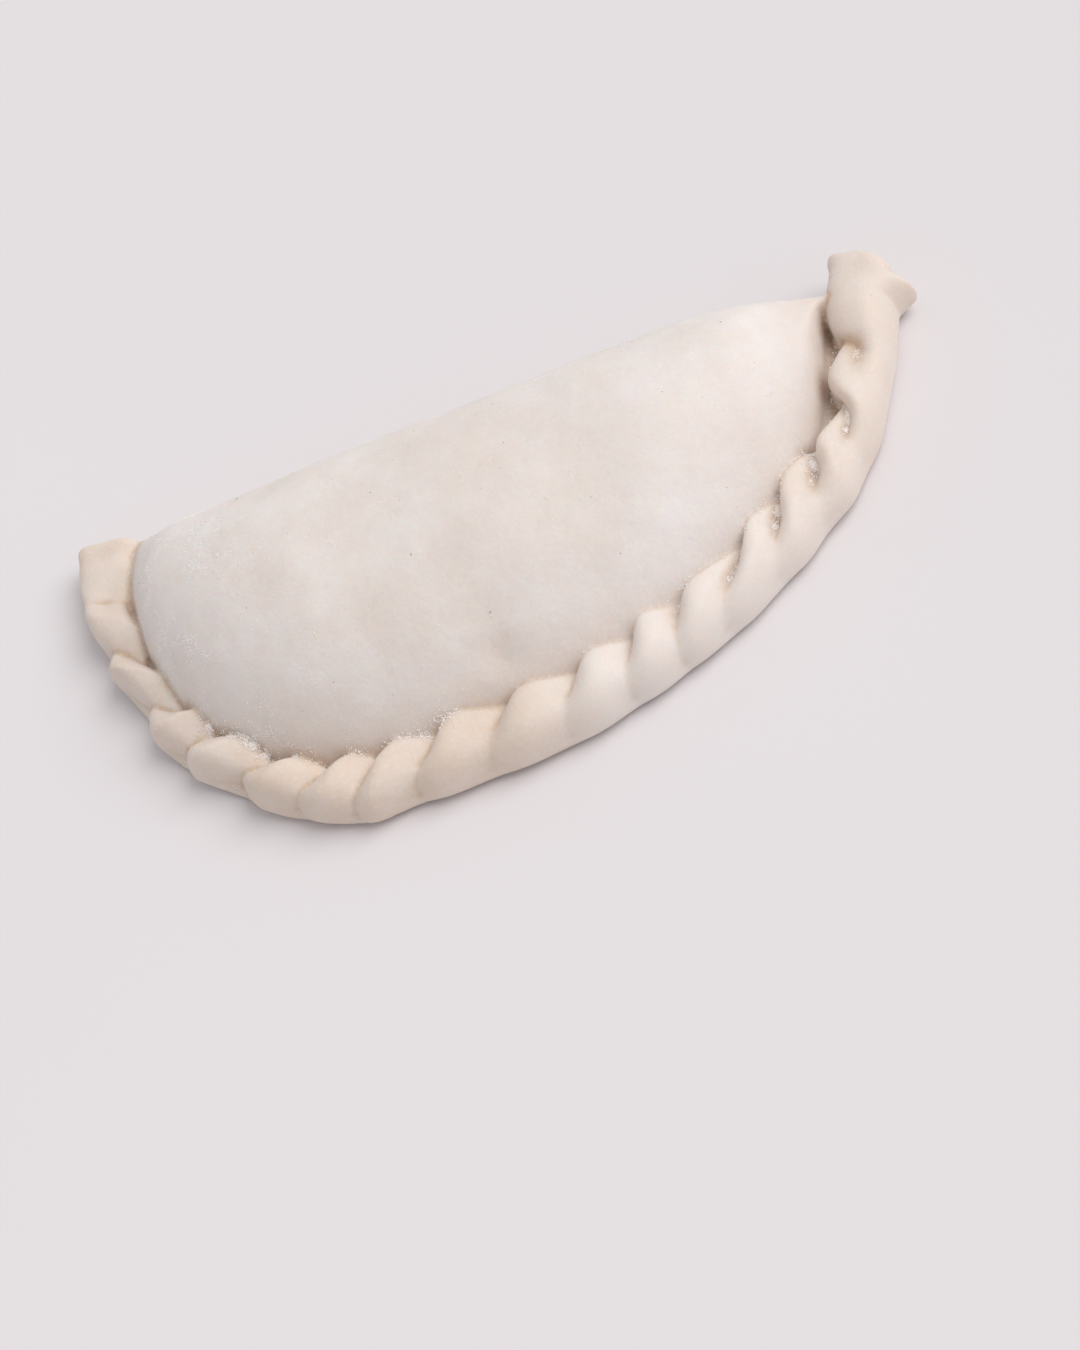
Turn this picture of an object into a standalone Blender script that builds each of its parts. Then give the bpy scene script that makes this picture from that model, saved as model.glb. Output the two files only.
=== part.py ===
"""A raw empanada: one round of dough folded over its filling into a half moon and shut with a rope crimp.

Metres, +Z up. It lies on its flat underside. The straight fold runs along X at the back (+Y), and the
rope runs round the front (-Y) from the left tip to the right tip, where it was pinched off in a knob.
The origin is the middle of the bounding box, on the surface that the empanada lies on.
"""

import math

import bmesh
import bpy
import numpy as np
from mathutils import Matrix, Vector, noise

NAME = "empanada"

MM = 0.001

# The line that the rope follows, seen from above
HALF_SPAN = 0.0575          # half the distance between the half moon's two tips
ROPE_REACH = 0.0551         # how far the rope stands forward of the tips
LEAN = 0.16                 # the half moon leans this share of its reach towards the left tip
BOW = 0.0019                # and is fuller on the left than on the right
SQUARE_ACROSS = 0.808       # exponents under 1 fill out the half moon's corners
SQUARE_FORWARD = 0.901
LEFT_RUN = 0.0025           # the rope's ends run on backwards past the half moon
RIGHT_RUN = 0.0034

# The folds as they were pinched, from the left tip, in millimetres: width along the rope, reach towards
# the filling, reach outwards and height; then how many folds back the crease before it slants on its way
# out, and its crest's place across its width at the inner edge and at the outer rim
FOLDS = (
    (12.0, 4.4, 5.8, 6.2, 0.30, 0.60, 0.40),
    (11.3, 3.2, 4.3, 7.2, 0.42, 0.66, 0.30),
    (12.9, 4.1, 3.0, 7.6, 0.50, 0.66, 0.30),
    (7.8, 5.3, 3.4, 7.6, 0.42, 0.62, 0.30),
    (12.2, 4.7, 2.7, 7.8, 0.34, 0.58, 0.30),
    (10.2, 3.7, 4.1, 7.8, 0.45, 0.50, 0.34),
    (7.7, 4.1, 5.1, 7.8, 0.58, 0.44, 0.36),
    (9.7, 5.1, 3.6, 8.0, 0.62, 0.40, 0.36),
    (10.6, 7.0, 3.4, 8.4, 0.58, 0.35, 0.36),
    (10.7, 6.4, 3.1, 8.8, 0.52, 0.38, 0.40),
    (9.6, 6.6, 2.3, 9.0, 0.52, 0.40, 0.42),
    (9.5, 8.1, 2.2, 9.0, 0.65, 0.42, 0.42),
    (12.4, 5.6, 2.6, 9.0, 0.85, 0.42, 0.42),
    (9.5, 6.2, 3.6, 8.8, 1.10, 0.45, 0.45),
    (7.9, 4.8, 4.8, 8.6, 1.30, 0.45, 0.45),
    (7.6, 1.5, 4.8, 8.8, 1.20, 0.45, 0.45),
    (10.5, 3.9, 4.3, 9.2, 0.95, 0.45, 0.45),
    (16.3, 5.9, 3.7, 9.6, 0.25, 0.42, 0.36),
)
WIDTH, REACH_IN, REACH_OUT, HEIGHT, SLANT, INNER_CREST, OUTER_CREST = range(7)
REST_HEIGHT = 0.0003        # the rope's underside clears the table by this much
LEFT_CAP = 0.0012           # length over which each end of the rope rounds off
RIGHT_CAP = 0.0032
LEFT_END = 0.80             # how full the rope still is at its very ends
RIGHT_END = 0.50
END_HEIGHT = 0.50           # its ends close in on this share of its height
LEFT_SKEW = 0.0018          # the left end is cut off slantwise, longer by this much at its outer rim
RIGHT_SKEW = 0.0034         # and the right end too, shorter by this much there
SKEW_LENGTH = 0.0090        # and the slant of each fades over this length
SLANT_RUN_IN = 1.5          # folds over which the slant builds up from each end of the rope
CREASE_RUN_IN = 0.35        # and the same for the creases' depth
CREASE_DEPTH = 0.0026       # at the inner edge, where the folds are deepest
TOP_CREASE = 1.1            # and on top of the rope, as a share of that
INNER_SOFTNESS = 0.7        # exponent of a fold's rounding at the inner edge, sharp-creased under 1
OVERLAP = 0.0009            # a fold's crest leans this far over the fold before it
# Place counted in folds, then for halfway out and for the outer rim: the share of CREASE_DEPTH left there,
# and the exponent of a fold's rounding there, which leaves wide hollows over 1
CREASES = ((0.0, 0.40, 0.10, 0.9, 0.9), (1.1, 0.45, 0.15, 0.9, 0.9), (1.8, 1.00, 0.90, 0.9, 0.9),
           (4.3, 1.00, 0.85, 0.9, 1.0), (6.0, 0.90, 0.45, 1.0, 1.2), (9.0, 0.75, 0.28, 1.3, 1.5),
           (11.5, 0.95, 0.26, 1.2, 1.6), (13.0, 1.30, 0.20, 1.15, 1.5), (16.0, 1.30, 0.16, 1.15, 1.5),
           (18.0, 0.80, 0.08, 1.4, 1.7))
# Place counted in folds, the exponent under 1 that makes the rope's section fuller than an ellipse, and the
# exponent over 1 that sets its outer rim below its middle height
SECTIONS = ((0.0, 0.55, 1.10), (0.9, 0.60, 1.20), (1.8, 0.85, 1.55), (17.2, 0.85, 1.55), (18.0, 0.65, 1.40))
# Place counted in folds, and how far a fold's top is a sharp ridge there instead of a round one
RIDGES = ((0.0, 0.5), (4.0, 0.6), (6.5, 0.15), (9.0, 0.0), (18.0, 0.0))
EAR_PLACE = 17.57           # the last pinch squeezed a blunt ear out of the rope's outer rim here
EAR_REACH = 0.0028
EAR_HALF_LENGTH = 0.0027

# The case: the filled half moon inside the rope
FOLD_LINE = -0.0030         # the fold's furthest reach back
CASE_LEFT = -0.0538         # the fold's two ends
CASE_RIGHT = 0.0535
LEFT_TUCK = -0.0065         # how far forward of the fold's middle its ends lie, or behind it under 0
RIGHT_TUCK = 0.0018
CASE_ENDS = 0.045           # the case stops this share of the way round short of each tip of the rope
WEB_HEIGHT = 0.0034         # the sealed double sheet that runs out under the rope
# Share of the way round from the left tip to the right one, and there: the dome's height, its foot's distance
# from the rope's line, and the height of the fold's furthest reach as a share of the dome's
DOME = ((0.045, 0.0052, 0.0030, 0.60), (0.08, 0.0070, 0.0050, 0.50), (0.12, 0.0098, 0.0052, 0.42),
        (0.16, 0.0130, 0.0046, 0.36), (0.23, 0.0168, 0.0040, 0.34), (0.30, 0.0199, 0.0036, 0.32),
        (0.45, 0.0228, 0.0034, 0.32), (0.57, 0.0232, 0.0040, 0.32), (0.72, 0.0216, 0.0046, 0.32),
        (0.79, 0.0177, 0.0054, 0.38), (0.834, 0.0112, 0.0076, 0.78), (0.87, 0.0090, 0.0158, 0.92),
        (0.92, 0.0086, 0.0098, 0.92), (0.955, 0.0076, 0.0060, 0.92))
FOOT_LIMIT = 0.86           # the foot never takes more than this share of the way from rope to fold
CREST = 0.53                # the dome's top, as a share of the way from rope to fold
UNDERSIDE_CURVE = 0.16      # share of the depth over which the underside rolls up to the fold
LUMP = 0.0007               # how far the filling's lumps swell the sheet
LUMP_SIZE = 0.016
DENT_X, DENT_Y, DENT_Z = -0.0035, -0.0472, 0.0121   # the middle of a soft dent low on the dome's front
DENT_SIZE = 0.0030
DENT_DEPTH = 0.0008

# Fineness of the faceted solid
ROWS_PER_FOLD = 9
ROPE_SIDES = 20
CASE_SECTIONS = 48
CASE_FRONT_STEPS = 15
CASE_BACK_STEPS = 9


def eased(pairs, share):
    """The smooth values, at this share, between the tuples (share, value...) on either side of it."""
    shares = [pair[0] for pair in pairs]
    index = min(max(int(np.searchsorted(shares, share)) - 1, 0), len(pairs) - 2)
    low, high = pairs[index], pairs[index + 1]
    part = min(max((share - low[0]) / (high[0] - low[0]), 0.0), 1.0)
    part = part * part * (3 - 2 * part)
    return [a + (b - a) * part for a, b in zip(low[1:], high[1:])]


def flowing(pairs, share):
    """The same on one smooth curve through all the tuples, which doesn't level out at each of them."""
    table = np.array(pairs)
    shares, values = table[:, 0], table[:, 1:]
    slopes = np.gradient(values, shares, axis=0)
    index = min(max(int(np.searchsorted(shares, share)) - 1, 0), len(pairs) - 2)
    run = shares[index + 1] - shares[index]
    part = min(max((share - shares[index]) / run, 0.0), 1.0)
    rise = part * part * (3 - 2 * part)
    leaving = part * (1.0 - part) ** 2 * run
    arriving = part * part * (part - 1.0) * run
    curve = values[index] * (1.0 - rise) + values[index + 1] * rise
    return curve + slopes[index] * leaving + slopes[index + 1] * arriving


def mixed(first, second, share):
    return first + (second - first) * share


def fold_value(column, place):
    """A column of the folds' table at a place counted in folds, smooth from one fold's middle to the next."""
    last = len(FOLDS) - 1
    index = min(max(math.floor(place - 0.5), 0), last - 1)
    part = min(max(place - 0.5 - index, 0.0), 1.0)
    part = part * part * (3 - 2 * part)
    return FOLDS[index][column] * (1.0 - part) + FOLDS[index + 1][column] * part


def half_moon(turn):
    """A point of the rope's line, seen from above. turn is 0 at the left tip and pi at the right tip."""
    across, forward = math.cos(turn), max(math.sin(turn), 0.0)
    y = -ROPE_REACH * forward**SQUARE_FORWARD
    x = -HALF_SPAN * math.copysign(abs(across) ** SQUARE_ACROSS, across) + LEAN * y
    return Vector((x + BOW * math.sin(2 * turn), y, 0.0))


class RopeLine:
    """The rope's line by length: its points, its directions and the length at which each fold starts."""

    def __init__(self):
        steps = 720
        moon = [half_moon(math.pi * i / steps) for i in range(steps + 1)]
        left = moon[0] + Vector((0.0, LEFT_RUN, 0.0))
        right = moon[-1] + Vector((0.0, RIGHT_RUN, 0.0))
        self.points = np.array([left, *moon, right])[:, :2]
        runs = np.linalg.norm(np.diff(self.points, axis=0), axis=1)
        self.lengths = np.concatenate([[0.0], np.cumsum(runs)])
        self.total = self.lengths[-1]
        widths = np.cumsum([0.0] + [fold[WIDTH] for fold in FOLDS])
        self.fold_starts = widths * self.total / widths[-1]

    def length_at(self, place):
        """Length from the left tip to a place counted in folds."""
        return float(np.interp(place, range(len(self.fold_starts)), self.fold_starts))

    def at(self, length):
        """(point, direction along the rope, direction towards the filling) at a length from the left tip."""
        half_window = 0.006
        point = self._on_line(length)
        along = (self._on_line(length + half_window) - self._on_line(length - half_window)).normalized()
        return point, along, Vector((-along.y, along.x, 0.0))

    def _on_line(self, length):
        x, y = (np.interp(length, self.lengths, self.points[:, axis]) for axis in (0, 1))
        return Vector((x, y, 0.0))


def scallop(phase, crest, softness, ridge):
    """Height of a fold across its width: 0 in the creases at phase 0 and 1, and 1 on its crest."""
    bent = phase ** (math.log(0.5) / math.log(crest))
    round_top = math.sin(math.pi * bent) ** softness
    sharp_top = min(phase / crest, (1.0 - phase) / (1.0 - crest))
    return mixed(round_top, sharp_top, ridge)


def rounded(distance, flat):
    """How full the rope is at this distance from an end, in cap lengths: flat at the very end, then 1."""
    part = min(max(distance, 0.0), 1.0)
    return flat + (1.0 - flat) * math.sqrt(1.0 - (1.0 - part) ** 2)


def bulged(value, power):
    """A cosine or sine with its sign kept and its swing made fuller, for a section squarer than an ellipse."""
    return math.copysign(abs(value) ** power, value)


def rope_point(line, fold, turn):
    """A point of the rope's skin.

    fold counts the folds from the left tip and stays the same along a crease. turn goes round the rope:
    0 faces the filling, a quarter turn faces up and half a turn faces out.
    """
    folds = len(FOLDS)
    out_share = 0.5 - 0.5 * math.cos(turn)
    near_end = min(fold, folds - fold)
    slant = fold_value(SLANT, fold) * min(near_end / SLANT_RUN_IN, 1.0)
    place = min(max(fold - slant * out_share, 0.0), float(folds))
    length = line.length_at(place)
    middle, along, inward = line.at(length)

    half_share, rim_share, half_softness, rim_softness = eased(CREASES, place)
    way_out = ((0.0, 1.0, INNER_SOFTNESS), (0.5, half_share, half_softness), (1.0, rim_share, rim_softness))
    crease, softness = eased(way_out, out_share)
    ridge, = eased(RIDGES, place)
    if turn > math.pi:
        crease *= max(1.0 + 1.4 * math.sin(turn), 0.0)
    phase = fold - math.floor(fold)
    middle_of_fold = math.floor(fold) + 0.5
    crest = mixed(fold_value(INNER_CREST, middle_of_fold), fold_value(OUTER_CREST, middle_of_fold), out_share)
    height = scallop(phase, crest, softness, ridge)
    if fold >= folds:
        height = 0.0
    sunk = CREASE_DEPTH * crease * (1.0 - height) * min(near_end / CREASE_RUN_IN, 1.0)

    cap = rounded(length / LEFT_CAP, LEFT_END) * rounded((line.total - length) / RIGHT_CAP, RIGHT_END)
    reach_in, reach_out = fold_value(REACH_IN, place) * MM, fold_value(REACH_OUT, place) * MM
    ear = max(1.0 - abs(length - line.length_at(EAR_PLACE)) / EAR_HALF_LENGTH, 0.0)
    section_power, rim_drop = eased(SECTIONS, place)
    round_across = bulged(math.cos(turn), section_power)
    across = 0.5 * (reach_in - reach_out) + (0.5 * (reach_in + reach_out) - sunk) * cap * round_across
    across -= EAR_REACH * ear * max(-math.cos(turn), 0.0) ** 2
    full_height = fold_value(HEIGHT, fold) * MM
    level = 0.5 + 0.5 * bulged(math.sin(turn), section_power)
    up = full_height * level ** (1.0 + (rim_drop - 1.0) * out_share)
    up = mixed(full_height * END_HEIGHT, up, cap) - sunk * TOP_CREASE * max(math.sin(turn), 0.0)

    back = OVERLAP * height * (1.0 - out_share) * min(near_end, 1.0)
    back += LEFT_SKEW * out_share * max(1.0 - length / SKEW_LENGTH, 0.0)
    back += RIGHT_SKEW * out_share * max(1.0 - (line.total - length) / SKEW_LENGTH, 0.0)
    return middle + inward * across - along * back + Vector((0.0, 0.0, REST_HEIGHT + up))


def loft(name, rings):
    """A closed mesh through rings of points, with a face across each end."""
    mesh = bmesh.new()
    rows = [[mesh.verts.new(point) for point in ring] for ring in rings]
    count = len(rings[0])
    for low, high in zip(rows, rows[1:]):
        for i in range(count):
            j = (i + 1) % count
            mesh.faces.new((low[i], low[j], high[j], high[i]))
    mesh.faces.new(rows[0][::-1])
    mesh.faces.new(rows[-1])
    bmesh.ops.recalc_face_normals(mesh, faces=mesh.faces)
    data = bpy.data.meshes.new(name)
    mesh.to_mesh(data)
    mesh.free()
    made = bpy.data.objects.new(name, data)
    bpy.context.scene.collection.objects.link(made)
    return made


def rope(line):
    """The crimp as one twisted rope, its rows of points lying along the slanted creases."""
    offsets = [(i / ROWS_PER_FOLD) ** 1.2 for i in range(ROWS_PER_FOLD)]
    places = [fold + offset for fold in range(len(FOLDS)) for offset in offsets] + [float(len(FOLDS))]
    turns = [2 * math.pi * i / ROPE_SIDES for i in range(ROPE_SIDES)]
    return loft("rope", [[rope_point(line, place, turn) for turn in turns] for place in places])


def lumps(point):
    """How far the filling swells the sheet at a point, from -1 to 1."""
    broad = noise.noise(point / LUMP_SIZE)
    fine = noise.noise(point / (0.45 * LUMP_SIZE) + Vector((7.3, 1.9, 4.2)))
    return broad + 0.25 * fine


def case_section(turn):
    """The closed outline of the filled case from under the rope over the dome to the fold and back below."""
    share = turn / math.pi
    front = half_moon(turn)
    fullness = max(math.sin(turn), 0.0)
    fold_share = 0.5 - 0.5 * math.cos(turn)
    back = Vector((mixed(CASE_LEFT, CASE_RIGHT, fold_share), FOLD_LINE, 0.0))
    back.y -= mixed(LEFT_TUCK, RIGHT_TUCK, fold_share) * (1.0 - fullness)
    across = back - front
    depth = across.length
    across.normalize()
    height, foot_length, fold_level = flowing(DOME, share)
    foot = min(foot_length / depth, FOOT_LIMIT)
    fold_height = WEB_HEIGHT * 0.5 + fold_level * (height - WEB_HEIGHT * 0.5)

    outline = [(0.0, WEB_HEIGHT * 0.85), (foot * 0.55, WEB_HEIGHT)]
    crest = foot + (1.0 - foot) * CREST
    for i in range(CASE_FRONT_STEPS + 1):
        part = 0.5 - 0.5 * math.cos(math.pi * (i / CASE_FRONT_STEPS) ** 0.9)
        rise = (1.0 - (1.0 - part) ** 2.1) ** (1 / 1.45)
        outline.append((foot + (crest - foot) * part, WEB_HEIGHT + (height - WEB_HEIGHT) * rise))
    for i in range(1, CASE_BACK_STEPS + 1):
        angle = 0.5 * math.pi * i / CASE_BACK_STEPS
        outline.append((crest + (1.0 - crest) * math.sin(angle),
                        fold_height + (height - fold_height) * math.cos(angle)))
    roll = UNDERSIDE_CURVE
    for i in range(1, 5):
        angle = 0.5 * math.pi * i / 4
        outline.append((1.0 - roll + roll * math.cos(angle), fold_height * (1.0 - math.sin(angle))))
    for part in (0.6, 0.35, 0.15):
        outline.append((part, 0.0))
    outline.append((0.02, WEB_HEIGHT * 0.25))

    ring = []
    for part, z in outline:
        point = front + across * depth * part + Vector((0.0, 0.0, z))
        fade = min(max((part - foot) / 0.2, 0.0), 1.0) * fullness
        if z > 0.55 * fold_height:
            point.z += LUMP * lumps(point) * fade
        dent = DENT_DEPTH * math.exp(-((point - Vector((DENT_X, DENT_Y, DENT_Z))).length / DENT_SIZE) ** 2)
        ring.append(point + (across + Vector((0.0, 0.0, -1.0))).normalized() * dent)
    return ring


def case():
    """The filled half moon, lofted from tip to tip."""
    step = (1 - 2 * CASE_ENDS) / (CASE_SECTIONS - 1)
    turns = [math.pi * (CASE_ENDS + step * i) for i in range(CASE_SECTIONS)]
    return loft("case", [case_section(turn) for turn in turns])


def dough():
    """Raw wheat dough, cream under a dusting of flour."""
    material = bpy.data.materials.new("raw_dough")
    material.use_nodes = True
    shader = material.node_tree.nodes["Principled BSDF"]
    shader.inputs["Base Color"].default_value = (0.82, 0.74, 0.66, 1.0)
    shader.inputs["Roughness"].default_value = 0.72
    shader.inputs["Metallic"].default_value = 0.0
    return material


def fused(name, base, added):
    """One solid from two pieces that overlap."""
    join = base.modifiers.new("join", "BOOLEAN")
    join.operation = "UNION"
    join.object = added
    join.solver = "EXACT"
    join.use_self = True
    graph = bpy.context.evaluated_depsgraph_get()
    data = bpy.data.meshes.new_from_object(base.evaluated_get(graph))
    bpy.data.objects.remove(base)
    bpy.data.objects.remove(added)
    data.name = name
    made = bpy.data.objects.new(name, data)
    bpy.context.scene.collection.objects.link(made)
    return made


def stand(made):
    """Moves the solid so that its box's middle is over the origin and its underside at z = 0."""
    points = np.array([v.co for v in made.data.vertices])
    low, high = points.min(axis=0), points.max(axis=0)
    middle = (low + high) / 2
    made.data.transform(Matrix.Translation((-middle[0], -middle[1], -low[2])))


def main():
    for old in list(bpy.data.objects):
        bpy.data.objects.remove(old)
    made = fused(NAME, case(), rope(RopeLine()))
    stand(made)
    made.data.materials.clear()
    made.data.materials.append(dough())
    made.data.shade_smooth()
    made.data.set_sharp_from_angle(angle=math.radians(50))


main()
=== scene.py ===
"""The looks of a raw empanada: its dough with a rope crimp, the flour on it, and a plain stage.

It is laid out as an add-on and is run as a script. Lengths are in metres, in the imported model's frame:
+Z is up, the straight fold runs along X at the back (+Y), and the rope crimp runs round the front (-Y).
The dough is made again here from the same driving sizes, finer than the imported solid, and stands for it.
"""

import math

import bmesh
import bpy
import numpy as np
from bpy.props import FloatProperty, FloatVectorProperty, IntProperty, PointerProperty
from mathutils import Matrix, Vector, noise
from mathutils.bvhtree import BVHTree
from mathutils.kdtree import KDTree


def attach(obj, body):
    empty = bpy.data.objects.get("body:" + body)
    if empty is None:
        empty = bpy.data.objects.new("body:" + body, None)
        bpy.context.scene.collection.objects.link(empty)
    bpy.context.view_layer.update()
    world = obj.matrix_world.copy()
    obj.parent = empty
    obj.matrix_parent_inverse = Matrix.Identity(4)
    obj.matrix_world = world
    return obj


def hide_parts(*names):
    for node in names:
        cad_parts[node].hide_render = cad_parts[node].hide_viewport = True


bl_info = {
    "name": "Raw empanada",
    "version": (1, 0, 0),
    "blender": (4, 5, 0),
    "location": "3D View > Sidebar > Empanada",
    "description": "Makes a raw floured empanada with a rope crimp, and a plain stage for it",
    "category": "Add Mesh",
}

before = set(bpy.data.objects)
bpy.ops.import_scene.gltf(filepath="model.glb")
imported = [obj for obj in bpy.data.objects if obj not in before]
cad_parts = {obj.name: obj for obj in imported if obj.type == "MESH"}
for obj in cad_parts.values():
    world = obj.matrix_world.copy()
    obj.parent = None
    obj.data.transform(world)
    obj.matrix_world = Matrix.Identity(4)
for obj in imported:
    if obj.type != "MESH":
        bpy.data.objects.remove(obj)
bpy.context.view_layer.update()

CAD_NODE = "empanada"
BODY = "root"

MM = 0.001

# The line that the rope follows, seen from above
HALF_SPAN = 0.0575
ROPE_REACH = 0.0551
LEAN = 0.16
BOW = 0.0019
SQUARE_ACROSS = 0.808
SQUARE_FORWARD = 0.901
LEFT_RUN = 0.0025
RIGHT_RUN = 0.0034

# The folds as they were pinched, from the left tip, in millimetres: width along the rope, reach towards
# the filling, reach outwards and height; then how many folds back the crease before it slants on its way
# out, and its crest's place across its width at the inner edge and at the outer rim
FOLDS = np.array((
    (12.0, 4.4, 5.8, 6.2, 0.30, 0.60, 0.40),
    (11.3, 3.2, 4.3, 7.2, 0.42, 0.66, 0.30),
    (12.9, 4.1, 3.0, 7.6, 0.50, 0.66, 0.30),
    (7.8, 5.3, 3.4, 7.6, 0.42, 0.62, 0.30),
    (12.2, 4.7, 2.7, 7.8, 0.34, 0.58, 0.30),
    (10.2, 3.7, 4.1, 7.8, 0.45, 0.50, 0.34),
    (7.7, 4.1, 5.1, 7.8, 0.58, 0.44, 0.36),
    (9.7, 5.1, 3.6, 8.0, 0.62, 0.40, 0.36),
    (10.6, 7.0, 3.4, 8.4, 0.58, 0.35, 0.36),
    (10.7, 6.4, 3.1, 8.8, 0.52, 0.38, 0.40),
    (9.6, 6.6, 2.3, 9.0, 0.52, 0.40, 0.42),
    (9.5, 8.1, 2.2, 9.0, 0.65, 0.42, 0.42),
    (12.4, 5.6, 2.6, 9.0, 0.85, 0.42, 0.42),
    (9.5, 6.2, 3.6, 8.8, 1.10, 0.45, 0.45),
    (7.9, 4.8, 4.8, 8.6, 1.30, 0.45, 0.45),
    (7.6, 1.5, 4.8, 8.8, 1.20, 0.45, 0.45),
    (10.5, 3.9, 4.3, 9.2, 0.95, 0.45, 0.45),
    (16.3, 5.9, 3.7, 9.6, 0.25, 0.42, 0.36),
))
FOLD_COUNT = len(FOLDS)
WIDTH, REACH_IN, REACH_OUT, HEIGHT, SLANT, INNER_CREST, OUTER_CREST = range(7)
REST_HEIGHT = 0.0003
LEFT_CAP = 0.0012
RIGHT_CAP = 0.0032
LEFT_END = 0.80
RIGHT_END = 0.50
END_HEIGHT = 0.50
LEFT_SKEW = 0.0018
RIGHT_SKEW = 0.0034
SKEW_LENGTH = 0.0090
SLANT_RUN_IN = 1.5
CREASE_RUN_IN = 0.35
CREASE_DEPTH = 0.0026
TOP_CREASE = 1.1
INNER_SOFTNESS = 0.7
OVERLAP = 0.0009
# Place counted in folds, then halfway out and at the outer rim: the share of CREASE_DEPTH left there;
# and for both the exponent of a fold's rounding, which leaves wide hollows over 1
CREASES = ((0.0, 0.40, 0.10, 0.9, 0.9), (1.1, 0.45, 0.15, 0.9, 0.9), (1.8, 1.00, 0.90, 0.9, 0.9),
           (4.3, 1.00, 0.85, 0.9, 1.0), (6.0, 0.90, 0.45, 1.0, 1.2), (9.0, 0.75, 0.28, 1.3, 1.5),
           (11.5, 0.95, 0.26, 1.2, 1.6), (13.0, 1.30, 0.20, 1.15, 1.5), (16.0, 1.30, 0.16, 1.15, 1.5),
           (18.0, 0.80, 0.08, 1.4, 1.7))
# Place counted in folds, the power that squares the rope's section there, and how steeply it drops
# to the rim
SECTIONS = ((0.0, 0.55, 1.10), (0.9, 0.60, 1.20), (1.8, 0.85, 1.55), (17.2, 0.85, 1.55),
            (18.0, 0.65, 1.40))
# Place counted in folds, and how far a fold's top is a sharp ridge there instead of a round one
RIDGES = ((0.0, 0.5), (4.0, 0.6), (6.5, 0.15), (9.0, 0.0), (18.0, 0.0))
EAR_PLACE = 17.57
EAR_REACH = 0.0028
EAR_HALF_LENGTH = 0.0027

# The case: the filled half moon inside the rope
FOLD_LINE = -0.0030
CASE_LEFT = -0.0538
CASE_RIGHT = 0.0535
LEFT_TUCK = -0.0065
RIGHT_TUCK = 0.0018
CASE_ENDS = 0.045
WEB_HEIGHT = 0.0034
# Share of the way from tip to tip, then the dome's height there, its foot's distance from the rope's line,
# and the share of the height that the fold at the back has
DOME = ((0.045, 0.0052, 0.0030, 0.60), (0.08, 0.0070, 0.0050, 0.50), (0.12, 0.0098, 0.0052, 0.42),
        (0.16, 0.0130, 0.0046, 0.36), (0.23, 0.0168, 0.0040, 0.34), (0.30, 0.0199, 0.0036, 0.32),
        (0.45, 0.0228, 0.0034, 0.32), (0.57, 0.0232, 0.0040, 0.32), (0.72, 0.0216, 0.0046, 0.32),
        (0.79, 0.0177, 0.0054, 0.38), (0.834, 0.0112, 0.0076, 0.78), (0.87, 0.0090, 0.0158, 0.92),
        (0.92, 0.0086, 0.0098, 0.92), (0.955, 0.0076, 0.0060, 0.92))
FOOT_LIMIT = 0.86
CREST = 0.53
# The web beside the rope, and the rise to the crest: 1 - (1 - part) to FRONT_FALL, all to FRONT_SWELL
WEB_START = 0.85
WEB_RUN = 0.55
FRONT_FALL = 2.1
FRONT_SWELL = 1 / 1.45
UNDERSIDE_CURVE = 0.16
# The filling's lumps: height and width, the small ones' share of both, and how they fade to the edges
LUMP = 0.0007
LUMP_SIZE = 0.016
SMALL_LUMP = 0.25
SMALL_LUMP_SIZE = 0.45
LUMP_FADE = 0.2
LUMP_FLOOR = 0.55
DENT_MIDDLE = (-0.0035, -0.0472, 0.0121)   # a soft dent low on the dome's front
DENT_SIZE = 0.0030
DENT_DEPTH = 0.0008

# Fineness of the two lofts before they are welded, and how often the weld is relaxed
LINE_POINTS = 721
ROWS_PER_FOLD = 44
ROPE_SIDES = 96
CASE_SECTIONS = 240
CASE_FRONT_STEPS = 70
CASE_BACK_STEPS = 40
CASE_ROLL_STEPS = 12
RELAX_TIMES = 3

# Random draws
LATTICE = 48
SURFACE_SEED = 11
GRAIN_SEED = 23

# The camera: where it looks from, how far it is turned about its own axis, the middle between the rope's
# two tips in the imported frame, and where that lies across and up in the camera's own frame
AZIMUTH = math.radians(15.0)
ELEVATION = math.radians(50.0)
ROLL = math.radians(-32.05)
DISTANCE = 0.600
TIPS_MIDDLE = Vector((0.00052, 0.02695, 0.0))
AIM_ACROSS = -0.00575
AIM_UP = 0.03339
LENS_MM = 112.99
SENSOR_MM = 36.0


def smooth_step(value):
    """0 below 0, 1 above 1, and smooth between."""
    value = np.clip(value, 0.0, 1.0)
    return value * value * (3.0 - 2.0 * value)


def mixed(first, second, share):
    return first + (second - first) * share


def eased(pairs, share):
    """Smooth values, at these shares, between the tuples (share, value...) on either side of each."""
    table = np.array(pairs)
    share = np.asarray(share, float)
    index = np.clip(np.searchsorted(table[:, 0], share) - 1, 0, len(table) - 2)
    low = table[index]
    high = table[index + 1]
    part = smooth_step((share - low[..., 0]) / (high[..., 0] - low[..., 0]))
    return low[..., 1:] + (high[..., 1:] - low[..., 1:]) * part[..., None]


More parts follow.
